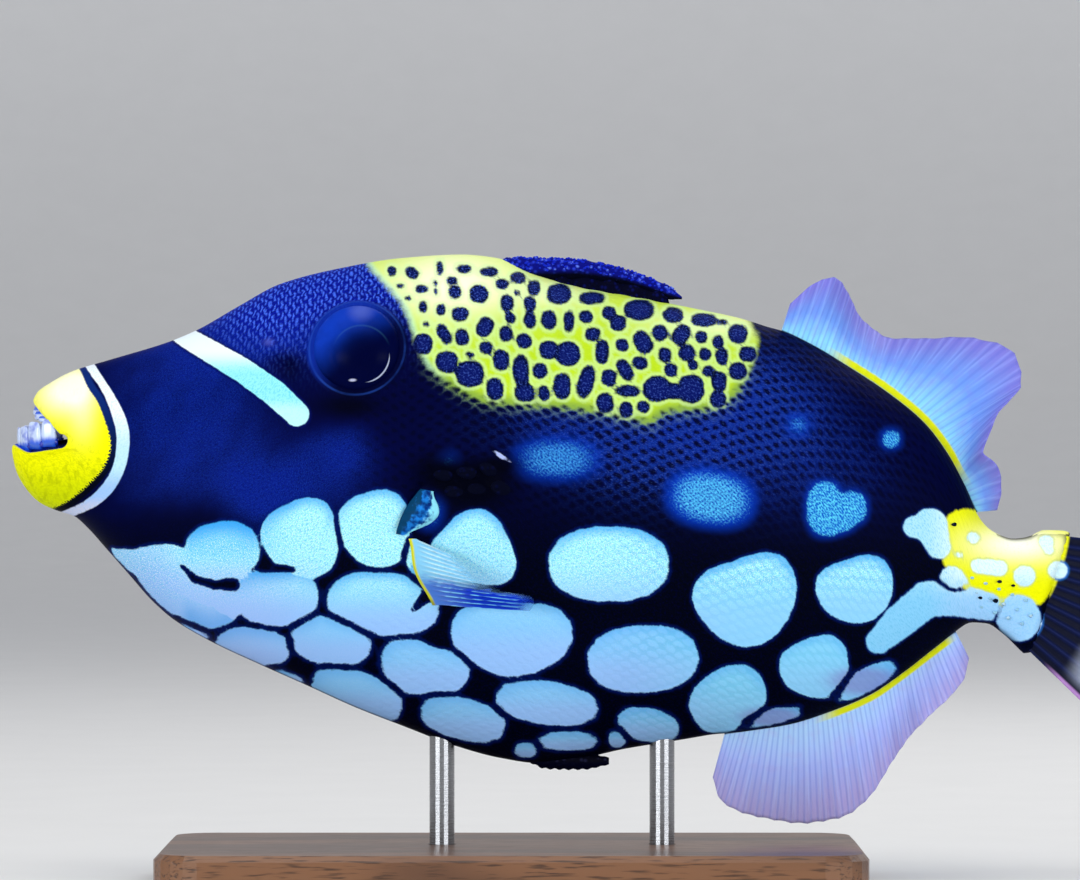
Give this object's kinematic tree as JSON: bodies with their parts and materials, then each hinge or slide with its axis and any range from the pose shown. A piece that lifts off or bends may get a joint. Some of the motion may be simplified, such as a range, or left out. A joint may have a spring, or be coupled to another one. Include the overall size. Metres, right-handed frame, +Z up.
{
  "type": "clown triggerfish model",
  "caption": "Life-size clown triggerfish swimming nose up, with parted jaws, folded first dorsal fin and fanned fins, on a flat stand.",
  "frame": {"origin": "centre of the bounding box at the underside of the stand's base", "axes": "+X towards the tail fin, -X the way the fish faces, -Y the fish's left side, +Z up"},
  "size_m": [0.2522, 0.072, 0.1259],
  "materials": {
    "skin": "satin scaled skin, dark blue with pale spots",
    "lip_skin": "satin yellow skin",
    "tooth": "glossy enamel",
    "eye": "wet and glossy",
    "fin": "thin pale lavender membrane",
    "tail_fin": "thin dark membrane with a pale band",
    "walnut": "oiled",
    "steel": "satin"
  },
  "bodies": {
    "root": {"upper_jaw": "lip_skin", "lower_jaw": "lip_skin", "teeth_upper": "tooth", "teeth_lower": "tooth", "head": "skin", "torso": "skin", "tail_stalk": "skin", "eye_left": "eye", "eye_right": "eye", "gill_flap_left": "skin", "gill_flap_right": "skin", "pectoral_fin_left": "fin", "pectoral_fin_right": "fin", "first_dorsal_fin": "skin", "second_dorsal_fin": "fin", "anal_fin": "fin", "caudal_fin": "tail_fin", "pelvic_spine": "skin", "stand_base": "walnut", "stand_rod_front": "steel", "stand_rod_rear": "steel"}
  },
  "joints": []
}
